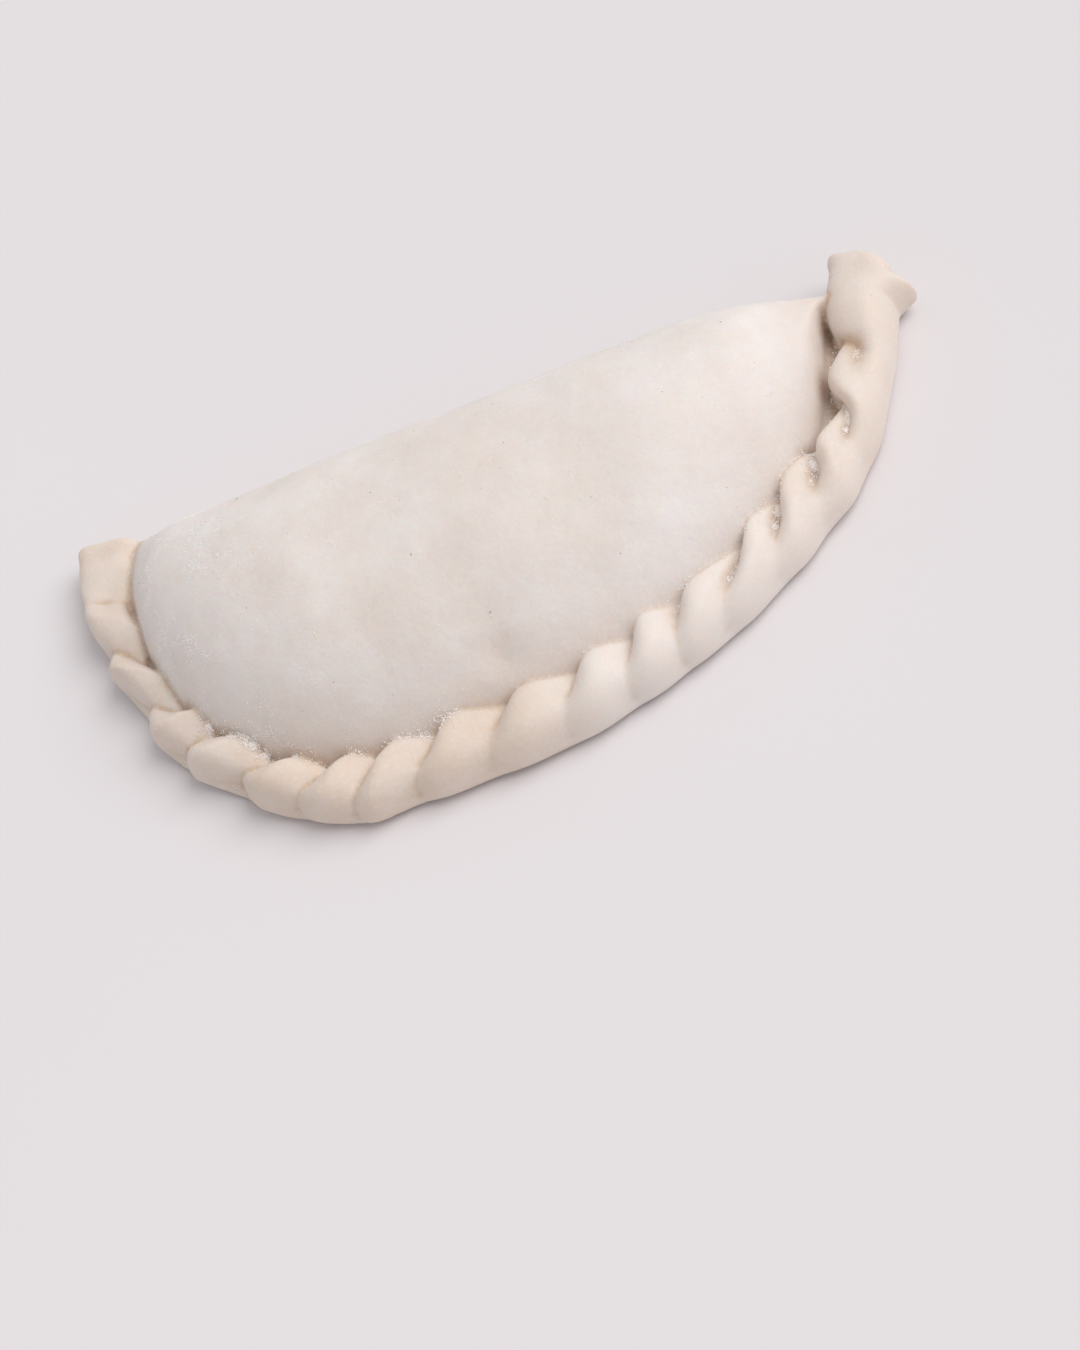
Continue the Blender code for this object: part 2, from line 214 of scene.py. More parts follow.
def flowing(pairs, share):
    """The values at shares on one smooth curve through all the tuples (share, value...)."""
    table = np.array(pairs)
    shares, values = table[:, 0], table[:, 1:]
    slopes = np.gradient(values, shares, axis=0)
    index = np.clip(np.searchsorted(shares, share) - 1, 0, len(pairs) - 2)
    run = (shares[index + 1] - shares[index])[..., None]
    part = np.clip((share - shares[index])[..., None] / run, 0.0, 1.0)
    rise = part * part * (3 - 2 * part)
    leaving = part * (1.0 - part) ** 2 * run
    arriving = part * part * (part - 1.0) * run
    curve = values[index] * (1.0 - rise) + values[index + 1] * rise
    return curve + slopes[index] * leaving + slopes[index + 1] * arriving


def fold_value(column, place):
    """A column of the folds' table at places counted in folds, smooth between the folds' middles."""
    index = np.clip(np.floor(place - 0.5), 0, FOLD_COUNT - 2).astype(int)
    part = smooth_step(place - 0.5 - index)
    return mixed(FOLDS[index, column], FOLDS[index + 1, column], part)


def half_moon(turn):
    """Points of the rope's line, seen from above. turn is 0 at the left tip and pi at the right tip."""
    across = np.cos(turn)
    forward = np.maximum(np.sin(turn), 0.0)
    y = -ROPE_REACH * forward**SQUARE_FORWARD
    x = -HALF_SPAN * np.sign(across) * np.abs(across) ** SQUARE_ACROSS + LEAN * y
    return np.stack([x + BOW * np.sin(2.0 * turn), y, np.zeros_like(y)], axis=-1)


class RopeLine:
    """The rope's line by length: its points, its directions and the length at which each fold starts."""

    def __init__(self):
        moon = half_moon(np.linspace(0.0, math.pi, LINE_POINTS))
        left = moon[0] + (0.0, LEFT_RUN, 0.0)
        right = moon[-1] + (0.0, RIGHT_RUN, 0.0)
        self.points = np.vstack([left, moon, right])
        runs = np.linalg.norm(np.diff(self.points, axis=0), axis=1)
        self.lengths = np.concatenate([[0.0], np.cumsum(runs)])
        self.total = self.lengths[-1]
        widths = np.concatenate([[0.0], np.cumsum(FOLDS[:, WIDTH])])
        self.fold_starts = widths * self.total / widths[-1]

    def length_at(self, place):
        """Lengths from the left tip to places counted in folds."""
        return np.interp(place, np.arange(FOLD_COUNT + 1), self.fold_starts)

    def at(self, length):
        """(points, directions along the rope, directions to the filling) at lengths from the left tip."""
        half_window = 0.006
        along = self._on_line(length + half_window) - self._on_line(length - half_window)
        along /= np.linalg.norm(along, axis=-1, keepdims=True)
        inward = np.stack([-along[..., 1], along[..., 0], np.zeros_like(length)], axis=-1)
        return self._on_line(length), along, inward

    def _on_line(self, length):
        axes = [np.interp(length, self.lengths, self.points[:, axis]) for axis in range(3)]
        return np.stack(axes, axis=-1)


def rounded(distance, flat):
    """How full the rope is this far from an end, in cap lengths: flat at the very end, then 1."""
    part = np.clip(distance, 0.0, 1.0)
    return flat + (1.0 - flat) * np.sqrt(1.0 - (1.0 - part) ** 2)


def bulged(value, power):
    """Cosines or sines with their sign kept and their swing made fuller."""
    return np.sign(value) * np.abs(value) ** power


def fold_swell(fold, out_share, softness, ridge):
    """How far each fold swells across its width: 0 in the creases and 1 on its crest."""
    phase = fold - np.floor(fold)
    middle = np.floor(fold) + 0.5
    crest = mixed(fold_value(INNER_CREST, middle), fold_value(OUTER_CREST, middle), out_share)
    bent = phase ** (math.log(0.5) / np.log(crest))
    round_top = np.maximum(np.sin(math.pi * bent), 0.0) ** softness
    sharp_top = np.minimum(phase / crest, (1.0 - phase) / (1.0 - crest))
    return np.where(fold >= FOLD_COUNT, 0.0, mixed(round_top, sharp_top, ridge))


def crease_way_out(place, out_share):
    """(share of CREASE_DEPTH, exponent of a fold's rounding) from the inner edge out to the rim."""
    half_share, rim_share, half_softness, rim_softness = np.moveaxis(eased(CREASES, place), -1, 0)
    first = smooth_step(2.0 * out_share)
    second = smooth_step(2.0 * out_share - 1.0)
    share = mixed(mixed(1.0, half_share, first), rim_share, second)
    softness = mixed(mixed(INNER_SOFTNESS, half_softness, first), rim_softness, second)
    return share, softness


def rope_skin(line, fold, turn):
    """Points of the rope's skin at arrays of folds and turns, and a row of values for each: place counted
    in folds, share of the way from the inner edge to the outer rim, and depth of the hollow.

    fold counts the folds from the left tip and stays the same along a crease. turn goes round the rope:
    0 faces the filling, a quarter turn faces up and half a turn faces out.
    """
    out_share = 0.5 - 0.5 * np.cos(turn)
    near_end = np.minimum(fold, FOLD_COUNT - fold)
    slant = fold_value(SLANT, fold) * np.minimum(near_end / SLANT_RUN_IN, 1.0)
    place = np.clip(fold - slant * out_share, 0.0, FOLD_COUNT)
    length = line.length_at(place)
    middle, along, inward = line.at(length)

    crease, softness = crease_way_out(place, out_share)
    below = np.maximum(1.0 + 1.4 * np.sin(turn), 0.0)
    crease = np.where(turn > math.pi, crease * below, crease)
    swell = fold_swell(fold, out_share, softness, eased(RIDGES, place)[..., 0])
    sunk = CREASE_DEPTH * crease * (1.0 - swell) * np.minimum(near_end / CREASE_RUN_IN, 1.0)

    cap = rounded(length / LEFT_CAP, LEFT_END) * rounded((line.total - length) / RIGHT_CAP, RIGHT_END)
    reach_in = fold_value(REACH_IN, place) * MM
    reach_out = fold_value(REACH_OUT, place) * MM
    ear = np.maximum(1.0 - np.abs(length - line.length_at(EAR_PLACE)) / EAR_HALF_LENGTH, 0.0)
    section = eased(SECTIONS, place)
    section_power, rim_drop = section[..., 0], section[..., 1]
    round_across = bulged(np.cos(turn), section_power)
    across = 0.5 * (reach_in - reach_out) + (0.5 * (reach_in + reach_out) - sunk) * cap * round_across
    across -= EAR_REACH * ear * np.maximum(-np.cos(turn), 0.0) ** 2
    full_height = fold_value(HEIGHT, fold) * MM
    level = 0.5 + 0.5 * bulged(np.sin(turn), section_power)
    up = full_height * level ** (1.0 + (rim_drop - 1.0) * out_share)
    up = mixed(full_height * END_HEIGHT, up, cap) - sunk * TOP_CREASE * np.maximum(np.sin(turn), 0.0)

    back = OVERLAP * swell * (1.0 - out_share) * np.minimum(near_end, 1.0)
    back += LEFT_SKEW * out_share * np.maximum(1.0 - length / SKEW_LENGTH, 0.0)
    back += RIGHT_SKEW * out_share * np.maximum(1.0 - (line.total - length) / SKEW_LENGTH, 0.0)
    points = middle + inward * across[..., None] - along * back[..., None]
    points[..., 2] = REST_HEIGHT + up
    return points, np.stack([place, out_share, sunk / CREASE_DEPTH], axis=-1)


def rope_rings(line):
    """Rings of points round the rope from tip to tip, and what they are like."""
    offsets = (np.arange(ROWS_PER_FOLD) / ROWS_PER_FOLD) ** 1.2
    places = (np.arange(FOLD_COUNT)[:, None] + offsets).ravel()
    places = np.append(places, FOLD_COUNT)
    turns = 2.0 * math.pi * np.arange(ROPE_SIDES) / ROPE_SIDES
    fold, turn = np.meshgrid(places, turns, indexing="ij")
    return rope_skin(line, fold, turn)


def lumps(points):
    """How far the filling swells the sheet at points, from about -1 to 1."""
    shift = Vector((7.3, 1.9, 4.2))
    values = []
    for point in points.reshape(-1, 3):
        at = Vector(point)
        small = noise.noise(at / (SMALL_LUMP_SIZE * LUMP_SIZE) + shift)
        values.append(noise.noise(at / LUMP_SIZE) + SMALL_LUMP * small)
    return np.array(values).reshape(points.shape[:-1])


def case_outline(foot, height, fold_height):
    """(shares of the way from rope to fold, heights) round the case, in arrays of a value a section."""
    level = np.zeros_like(foot)
    crest = foot + (1.0 - foot) * CREST
    outline = [(level, level + WEB_HEIGHT * WEB_START), (foot * WEB_RUN, level + WEB_HEIGHT)]
    for step in range(CASE_FRONT_STEPS + 1):
        part = 0.5 - 0.5 * math.cos(math.pi * (step / CASE_FRONT_STEPS) ** 0.9)
        rise = (1.0 - (1.0 - part) ** FRONT_FALL) ** FRONT_SWELL
        outline.append((foot + (crest - foot) * part, WEB_HEIGHT + (height - WEB_HEIGHT) * rise))
    for step in range(1, CASE_BACK_STEPS + 1):
        angle = 0.5 * math.pi * step / CASE_BACK_STEPS
        outline.append((crest + (1.0 - crest) * math.sin(angle),
                        fold_height + (height - fold_height) * math.cos(angle)))
    for step in range(1, CASE_ROLL_STEPS + 1):
        angle = 0.5 * math.pi * step / CASE_ROLL_STEPS
        outline.append((level + (1.0 - UNDERSIDE_CURVE + UNDERSIDE_CURVE * math.cos(angle)),
                        fold_height * (1.0 - math.sin(angle))))
    for part in (0.6, 0.35, 0.15):
        outline.append((level + part, level))
    outline.append((level + 0.02, level + WEB_HEIGHT * 0.25))
    shares, heights = zip(*outline)
    return np.stack(shares, axis=1), np.stack(heights, axis=1)


def case_rings():
    """Rings of points round the filled case, from its left end to its right one."""
    turn = math.pi * np.linspace(CASE_ENDS, 1.0 - CASE_ENDS, CASE_SECTIONS)
    front = half_moon(turn)
    fullness = np.sin(turn)
    fold_share = 0.5 - 0.5 * np.cos(turn)
    back = np.zeros_like(front)
    back[:, 0] = mixed(CASE_LEFT, CASE_RIGHT, fold_share)
    back[:, 1] = FOLD_LINE - mixed(LEFT_TUCK, RIGHT_TUCK, fold_share) * (1.0 - fullness)
    shape = flowing(DOME, turn / math.pi)
    height = shape[:, 0]
    depth = np.linalg.norm(back - front, axis=1)
    foot = np.minimum(shape[:, 1] / depth, FOOT_LIMIT)
    fold_height = WEB_HEIGHT * 0.5 + shape[:, 2] * (height - WEB_HEIGHT * 0.5)
    shares, heights = case_outline(foot, height, fold_height)
    rings = front[:, None] + (back - front)[:, None] * shares[..., None]
    rings[..., 2] = heights
    fade = np.clip((shares - foot[:, None]) / LUMP_FADE, 0.0, 1.0) * fullness[:, None]
    fade = np.where(heights > LUMP_FLOOR * fold_height[:, None], fade, 0.0)
    rings[..., 2] += LUMP * lumps(rings) * fade
    distance = np.linalg.norm(rings - DENT_MIDDLE, axis=-1)
    dent = DENT_DEPTH * np.exp(-((distance / DENT_SIZE) ** 2))
    push = ((back - front) / depth[:, None] + (0.0, 0.0, -1.0)) / math.sqrt(2.0)
    return rings + push[:, None, :] * dent[..., None]


def lofted(rings):
    """(points, faces) of a closed loft through rings, with a face across each end."""
    rows, count = rings.shape[:2]
    index = np.arange(rows * count).reshape(rows, count)
    following = np.roll(index, -1, axis=1)
    faces = np.stack([index[:-1], following[:-1], following[1:], index[1:]], axis=-1)
    faces = faces.reshape(-1, 4).tolist()
    faces.append(index[0][::-1].tolist())
    faces.append(index[-1].tolist())
    return rings.reshape(-1, 3), faces


def linked(name, data):
    """A new object of this data, in the scene."""
    made = bpy.data.objects.new(name, data)
    bpy.context.scene.collection.objects.link(made)
    return made


def new_object(name, points, faces):
    """A mesh object with its faces turned outwards."""
    data = bpy.data.meshes.new(name)
    data.from_pydata(points.tolist(), [], faces)
    mesh = bmesh.new()
    mesh.from_mesh(data)
    bmesh.ops.recalc_face_normals(mesh, faces=mesh.faces)
    mesh.to_mesh(data)
    mesh.free()
    return linked(name, data)


def welded(name, lofts, voxel):
    """One skin over several closed lofts that overlap."""
    points = []
    faces = []
    for loft_points, loft_faces in lofts:
        start = sum(len(part) for part in points)
        points.append(loft_points)
        faces.extend([[start + corner for corner in face] for face in loft_faces])
    rough = new_object(name + "_rough", np.vstack(points), faces)
    remesh = rough.modifiers.new("weld", "REMESH")
    remesh.mode = "VOXEL"
    remesh.voxel_size = voxel
    graph = bpy.context.evaluated_depsgraph_get()
    data = bpy.data.meshes.new_from_object(rough.evaluated_get(graph))
    bpy.data.objects.remove(rough)
    data.name = name
    return linked(name, data)


class Skin:
    """A mesh's points, normals and neighbours as arrays, for shaping it."""

    def __init__(self, data):
        self.data = data
        self.count = len(data.vertices)
        self.points = np.empty(self.count * 3)
        data.vertices.foreach_get("co", self.points)
        self.points = self.points.reshape(-1, 3)
        edges = np.empty(len(data.edges) * 2, int)
        data.edges.foreach_get("vertices", edges)
        self.starts, self.ends = edges.reshape(-1, 2).T
        self.neighbours = np.bincount(self.starts, minlength=self.count)
        self.neighbours += np.bincount(self.ends, minlength=self.count)

    def normals(self):
        """The normal at each point of the mesh as it was last written."""
        values = np.empty(self.count * 3)
        self.data.vertex_normals.foreach_get("vector", values)
        return values.reshape(-1, 3)

    def around(self, values):
        """The mean of each point's neighbours' values."""
        total = np.bincount(self.starts, values[self.ends], self.count)
        total += np.bincount(self.ends, values[self.starts], self.count)
        return total / self.neighbours

    def middles(self):
        """The mean place of each point's neighbours."""
        return np.stack([self.around(self.points[:, axis]) for axis in range(3)], axis=1)

    def blurred(self, values, times):
        """The values after this many steps towards their neighbours' mean."""
        for _ in range(times):
            values = 0.5 * values + 0.5 * self.around(values)
        return values

    def relax(self, times):
        """Takes the voxels' steps out of the surface, without shrinking it."""
        for _ in range(times):
            for strength in (0.5, -0.52):
                self.points += strength * (self.middles() - self.points)

    def hollowness(self):
        """How far each point lies below its neighbours' mean, in metres: above 0 in a crease."""
        return ((self.middles() - self.points) * self.normals()).sum(axis=1)

    def write(self):
        self.data.vertices.foreach_set("co", self.points.ravel())
        self.data.update()

    def keep(self, name, values):
        """Stores a value for each point, for the material to read."""
        attribute = self.data.attributes.new(name, "FLOAT", "POINT")
        attribute.data.foreach_set("value", values.astype(np.float32))

    def kept(self, name):
        values = np.empty(self.count, np.float32)
        self.data.attributes[name].data.foreach_get("value", values)
        return values.astype(float)


def cloudy(points, size, seed):
    """Smooth random values from -1 to 1 at points, in lumps about size across."""
    draw = np.random.default_rng(seed)
    lattice = draw.uniform(-1.0, 1.0, (LATTICE, LATTICE, LATTICE))
    turned = points @ np.linalg.qr(draw.normal(size=(3, 3)))[0]
    place = turned / size + LATTICE
    cell = np.floor(place).astype(int)
    part = smooth_step(place - cell)
    total = np.zeros(len(points))
    for corner in np.ndindex(2, 2, 2):
        weight = np.prod(np.where(corner, part, 1.0 - part), axis=1)
        x, y, z = ((cell + corner) % LATTICE).T
        total += weight * lattice[x, y, z]
    return total


def distances(points, loft):
    """How far points are from a loft's surface."""
    loft_points, loft_faces = loft
    tree = BVHTree.FromPolygons(loft_points.tolist(), loft_faces)
    return np.array([tree.find_nearest(Vector(point))[3] for point in points])


def nearest_values(points, known_points, known_values):
    """The values of the known point nearest to each point."""
    tree = KDTree(len(known_points))
    for index, point in enumerate(known_points):
        tree.insert(point, index)
    tree.balance()
    return known_values[[tree.find(point)[1] for point in points]]


# Place counted in folds, then how strongly painted shade darkens the dough there: in creases, where rope
# and case meet, in the rope's hollows; and how far flour and painted light pale the rope
ROPE_TINTS = ((0.0, 0.50, 0.60, 0.0, 0.0), (1.6, 0.60, 0.75, 0.0, 0.22), (4.2, 0.60, 0.75, 0.0, 0.10),
              (5.2, 0.50, 0.25, 0.0, 0.0), (8.5, 0.45, 0.20, 0.0, 0.0), (10.5, 0.35, 0.22, 0.25, 0.85),
              (12.5, 0.45, 0.40, 0.85, 0.80), (15.0, 0.45, 0.75, 0.85, 0.28),
              (16.8, 0.45, 0.95, 0.85, 0.40), (18.0, 0.35, 0.85, 0.60, 0.35))
# How far a broad dusting pales the case, from its left end to its right one
PALE_CASE = ((-0.062, 0.30), (-0.046, 0.25), (-0.034, 0.08), (-0.010, 0.00), (0.008, 0.06),
             (0.026, 0.36), (0.038, 0.27), (0.050, 0.10), (0.062, 0.00))

# Where the dough counts as rope, as joint and as pit, by its distance from the lofts of rope and case
WELD_BLEND = 0.6 * MM
JOINT_SPREAD = 0.9 * MM
JOINT_LINE = 0.5 * MM
PIT_REACH = 2.3 * MM
PIT_FADE = 1.8 * MM
PIT_TOP = 9.0 * MM
PIT_DEEP = 3.5 * MM
# Heights under which painted shade darkens the case low down, towards the rope
LOW_TOP = 17.0 * MM
LOW_DEEP = 12.0 * MM
# Crease depth at which painted shade is full, and the strength of painted shade in the rope's hollows
CREASE_HOLLOW = 0.02 * MM
HOLLOW_SHADE = 0.8

# The relief's sizes, the small one's strength, and how much of each relief the rope has
WAVES = (5.0 * MM, 2.4 * MM)
SMALL_WAVES = 0.5
ROPE_WAVES = 0.8
GRAIN_SIZES = (0.9 * MM, 0.55 * MM)
SMALL_GRAIN = 0.6
ROPE_GRAIN = 0.45
# Where caked flour ends, over what length it fades, its patches, ridges and crumbs, and a ridge's width
CAKED_EDGE = -0.034
CAKED_FADE = 0.016
CAKED_SIZES = (4.2 * MM, 1.5 * MM, 0.8 * MM)
RIDGE_WIDTH = 0.22


def caked_flour(points):
    """How far flour has caked into small ridges on the left of the case, from 0 to 1."""
    patch_size, ridge_size, crumb_size = CAKED_SIZES
    towards_left = smooth_step((CAKED_EDGE - points[:, 0]) / CAKED_FADE)
    where = towards_left * smooth_step((0.010 + points[:, 1]) / 0.02 + 0.5)
    patch = smooth_step(0.25 + 1.3 * cloudy(points, patch_size, SURFACE_SEED + 5))
    ridge = 1.0 - np.abs(cloudy(points, ridge_size, SURFACE_SEED + 6)) / RIDGE_WIDTH
    crumbs = smooth_step(0.5 + 1.5 * cloudy(points, crumb_size, SURFACE_SEED + 7))
    return where * patch * np.clip(ridge, 0.0, 1.0) * crumbs


def add_relief(skin, on_rope, settings):
    """Gives the skin its fine relief where it faces up, and returns how far flour has caked on it."""
    normals = skin.normals()
    facing_up = smooth_step((normals[:, 2] + 0.25) / 0.6)
    soft = cloudy(skin.points, WAVES[0], SURFACE_SEED)
    soft += SMALL_WAVES * cloudy(skin.points, WAVES[1], SURFACE_SEED + 1)
    grain = cloudy(skin.points, GRAIN_SIZES[0], SURFACE_SEED + 2)
    grain += SMALL_GRAIN * cloudy(skin.points, GRAIN_SIZES[1], SURFACE_SEED + 3)
    caked = caked_flour(skin.points) * (1.0 - on_rope)
    relief = settings.waviness * soft * mixed(1.0, ROPE_WAVES, on_rope)
    relief += settings.grain * grain * mixed(1.0, ROPE_GRAIN, on_rope)
    relief += settings.caking * caked
    skin.points += normals * (relief * facing_up)[:, None]
    skin.points[:, 2] = np.maximum(skin.points[:, 2], 0.0)
    skin.write()
    return caked


def shape_dough(settings):
    """The dough's object: rope and case welded, relaxed, and given its fine relief and its masks."""
    rope_points, rope_values = rope_rings(RopeLine())
    rope = lofted(rope_points)
    case = lofted(case_rings())
    made = welded("dough", [rope, case], settings.fineness)
    skin = Skin(made.data)
    skin.relax(RELAX_TIMES)

    from_rope = distances(skin.points, rope)
    from_case = distances(skin.points, case)
    on_rope = smooth_step(0.5 + (from_case - from_rope) / WELD_BLEND)
    joint = np.exp(-((from_rope + from_case) / JOINT_SPREAD))
    line_of_joint = np.exp(-(((from_rope + from_case) / JOINT_LINE) ** 2))
    place, out_share, sunk = nearest_values(skin.points, rope[0], rope_values.reshape(-1, 3)).T

    low = skin.points.min(axis=0)
    high = skin.points.max(axis=0)
    skin.points -= ((low[0] + high[0]) / 2, (low[1] + high[1]) / 2, low[2])
    skin.write()
    caked = add_relief(skin, on_rope, settings)

    # Painted shade in the creases, along the line where rope and case meet, in the pits, in the rope's
    # hollows and low on the case
    in_crease, at_joint, in_hollow, paled_by_flour_and_light = eased(ROPE_TINTS, place).T
    hollow = np.clip(skin.blurred(skin.hollowness(), 4) / CREASE_HOLLOW, 0.0, 1.0)
    beside_rope = smooth_step((PIT_REACH - from_rope) / PIT_FADE)
    pit = (1.0 - on_rope) * beside_rope * smooth_step((PIT_TOP - skin.points[:, 2]) / PIT_DEEP)
    painted_shade = np.maximum(in_crease * hollow, at_joint * np.maximum(line_of_joint, pit))
    hollowed = smooth_step((sunk - 0.35) / 0.6) * smooth_step((0.85 - out_share) / 0.4)
    low_on_case = (1.0 - on_rope) * smooth_step((LOW_TOP - skin.points[:, 2]) / LOW_DEEP)
    masks = {
        "rope": on_rope,
        "joint": joint,
        "painted_shade": np.maximum(painted_shade, HOLLOW_SHADE * in_hollow * on_rope * hollowed),
        "pit": pit * at_joint,
        "low": skin.blurred(low_on_case, 6),
        "pale": (1.0 - on_rope) * eased(PALE_CASE, skin.points[:, 0])[:, 0],
        # Paling of the rope by flour and by painted light on its brighter folds
        "paled_by_flour_and_light": paled_by_flour_and_light * on_rope,
        "caked": caked,
        "place": place,
        "out_share": out_share,
        "sunk": sunk * on_rope,
    }
    for name, values in masks.items():
        skin.keep(name, values)
    made.data.shade_smooth()
    return made


def set_inputs(node, values):
    """Sets a node's inputs by their names."""
    for name, value in values.items():
        node.inputs[name].default_value = value


def maths(tree, operation, first, second):
    """A maths node; first and second are numbers or outputs."""
    node = tree.nodes.new("ShaderNodeMath")
    node.operation = operation
    for socket, given in zip(node.inputs, (first, second)):
        if isinstance(given, (int, float)):
            socket.default_value = given
        else:
            tree.links.new(given, socket)
    return node.outputs[0]


def ranged(tree, given, low, high, to_low=0.0, to_high=1.0):
    """A value mapped smoothly from one range to another."""
    node = tree.nodes.new("ShaderNodeMapRange")
    node.interpolation_type = "SMOOTHSTEP"
    tree.links.new(given, node.inputs["Value"])
    set_inputs(node, {"From Min": low, "From Max": high, "To Min": to_low, "To Max": to_high})
    return node.outputs["Result"]


def blended(tree, share, first, second):
    """Two colours mixed by an output; each is an output or a colour of three numbers."""
    node = tree.nodes.new("ShaderNodeMix")
    node.data_type = "RGBA"
    colours = [socket for socket in node.inputs if socket.type == "RGBA"]
    for socket, given in zip(colours, (first, second)):
        if isinstance(given, bpy.types.NodeSocket):
            tree.links.new(given, socket)
        else:
            socket.default_value = (*given, 1.0)
    tree.links.new(share, node.inputs["Factor"])
    return [socket for socket in node.outputs if socket.type == "RGBA"][0]


def mottle_group():
    """Soft patches broken up by finer ones, as dry flour lies on dough."""
    name = "Flour mottle"
    if name in bpy.data.node_groups:
        return bpy.data.node_groups[name]
    tree = bpy.data.node_groups.new(name, "ShaderNodeTree")
    kinds = (("Patch size", "Patches", 4.0), ("Speckle size", "Speckles", 2.0))
    for input_name, output_name, _ in kinds:
        tree.interface.new_socket(input_name, in_out="INPUT", socket_type="NodeSocketFloat")
        tree.interface.new_socket(output_name, in_out="OUTPUT", socket_type="NodeSocketFloat")
    entry = tree.nodes.new("NodeGroupInput")
    leaving = tree.nodes.new("NodeGroupOutput")
    place = tree.nodes.new("ShaderNodeTexCoord")
    for input_name, output_name, detail in kinds:
        scale = maths(tree, "DIVIDE", 1.0, entry.outputs[input_name])
        clouds = tree.nodes.new("ShaderNodeTexNoise")
        set_inputs(clouds, {"Detail": detail, "Roughness": 0.55})
        tree.links.new(place.outputs["Object"], clouds.inputs["Vector"])
        tree.links.new(scale, clouds.inputs["Scale"])
        tree.links.new(clouds.outputs["Fac"], leaving.inputs[output_name])
    return tree


def mottle(tree, patch_size, speckle_size):
    """(patches, speckles) from the shared group, at these sizes in metres."""
    node = tree.nodes.new("ShaderNodeGroup")
    node.node_tree = mottle_group()
    set_inputs(node, {"Patch size": patch_size, "Speckle size": speckle_size})
    return node.outputs["Patches"], node.outputs["Speckles"]


def mask(tree, name):
    """A value that the mesh keeps for each point."""
    node = tree.nodes.new("ShaderNodeAttribute")
    node.attribute_type = "GEOMETRY"
    node.attribute_name = name
    return node.outputs["Fac"]


def new_material(name):
    """(material, its node tree, its Principled shader)."""
    material = bpy.data.materials.new(name)
    material.use_nodes = True
    tree = material.node_tree
    return material, tree, tree.nodes["Principled BSDF"]


# How much less rubbed-in flour shows along the rope and low on the case, where shade is painted, how far a
# patch of it covers the dough, and how rough it is
ROPE_LESS_FLOUR = 0.75
LOW_LESS_FLOUR = 0.6
PATCH_FLOUR = 0.55
FLOURY_ROUGHNESS = 0.92


def rubbed_in(tree, patches, small_patches, speckles):
    """How far flour covers the dough: in patches where it is dry, and where it was dusted; less where
    shade is painted.
    """
    floury = maths(tree, "MULTIPLY", ranged(tree, patches, 0.32, 0.68), PATCH_FLOUR)
    floury = maths(tree, "ADD", floury, ranged(tree, small_patches, 0.35, 0.70, -0.08, 0.18))
    on_rope = maths(tree, "MULTIPLY", mask(tree, "rope"), ROPE_LESS_FLOUR)
    floury = maths(tree, "MULTIPLY", floury, maths(tree, "SUBTRACT", 1.0, on_rope))
    low = maths(tree, "MULTIPLY", mask(tree, "low"), LOW_LESS_FLOUR)
    # Painted shade in the creases, the pits and low on the case keeps the flour off, so the shade shows
    shaded = maths(tree, "MAXIMUM", mask(tree, "painted_shade"), mask(tree, "pit"))
    shaded = maths(tree, "MAXIMUM", shaded, low)
    floury = maths(tree, "MULTIPLY", floury, maths(tree, "SUBTRACT", 1.0, shaded))
    dusted = maths(tree, "ADD", mask(tree, "flour"), mask(tree, "pale"))
    floury = maths(tree, "ADD", floury, dusted)
    floury = maths(tree, "ADD", floury, ranged(tree, speckles, 0.45, 0.72, -0.06, 0.18))
    return maths(tree, "MINIMUM", maths(tree, "MAXIMUM", floury, 0.0), 1.0)


def dough_material(settings):
    """Raw dough: cream, warmer along the rope, darkened by painted shade in its creases, pits and low on
    the case, whitened by flour in patches, and paled on some folds of the rope by flour and painted light.
    """
    material, tree, shader = new_material("raw_dough")
    patches, speckles = mottle(tree, 14.0 * MM, 0.55 * MM)
    small_patches, fine_speckles = mottle(tree, 5.0 * MM, 0.22 * MM)
    floury = rubbed_in(tree, patches, small_patches, speckles)

    colour = blended(tree, mask(tree, "rope"), settings.case_colour, settings.rope_colour)
    warm = ranged(tree, small_patches, 0.30, 0.70, 0.0, 0.5)
    colour = blended(tree, warm, colour, settings.warm_colour)
    # Painted shade low on the case, in the creases and in the pits, and paling of the rope by flour and
    # painted light
    for name, tinted in (("low", settings.low_shade_colour), ("paled_by_flour_and_light", settings.rope_flour_and_light_colour),
                         ("painted_shade", settings.crease_shade_colour), ("pit", settings.pit_shade_colour)):
        colour = blended(tree, mask(tree, name), colour, tinted)
    colour = blended(tree, floury, colour, settings.flour_colour)
    tree.links.new(colour, shader.inputs["Base Color"])
    roughness = ranged(tree, floury, 0.0, 1.0, settings.roughness, FLOURY_ROUGHNESS)
    tree.links.new(roughness, shader.inputs["Roughness"])

    fine = maths(tree, "MULTIPLY", fine_speckles, 0.45)
    bump = tree.nodes.new("ShaderNodeBump")
    set_inputs(bump, {"Strength": 0.35, "Distance": 0.12 * MM})
    tree.links.new(maths(tree, "ADD", speckles, fine), bump.inputs["Height"])
    tree.links.new(bump.outputs["Normal"], shader.inputs["Normal"])
    set_inputs(shader, {"Specular IOR Level": 0.30, "Subsurface Weight": settings.softness,
                        "Subsurface Radius": (1.0, 0.62, 0.40), "Subsurface Scale": 2.0 * MM,
                        "Sheen Weight": 0.12, "Sheen Roughness": 0.6})
    return material


def bran_material(settings):
    """Dull brown bran."""
    material, _, shader = new_material("bran")
    set_inputs(shader, {"Base Color": (*settings.speck_colour, 1.0), "Roughness": 0.85})
    return material


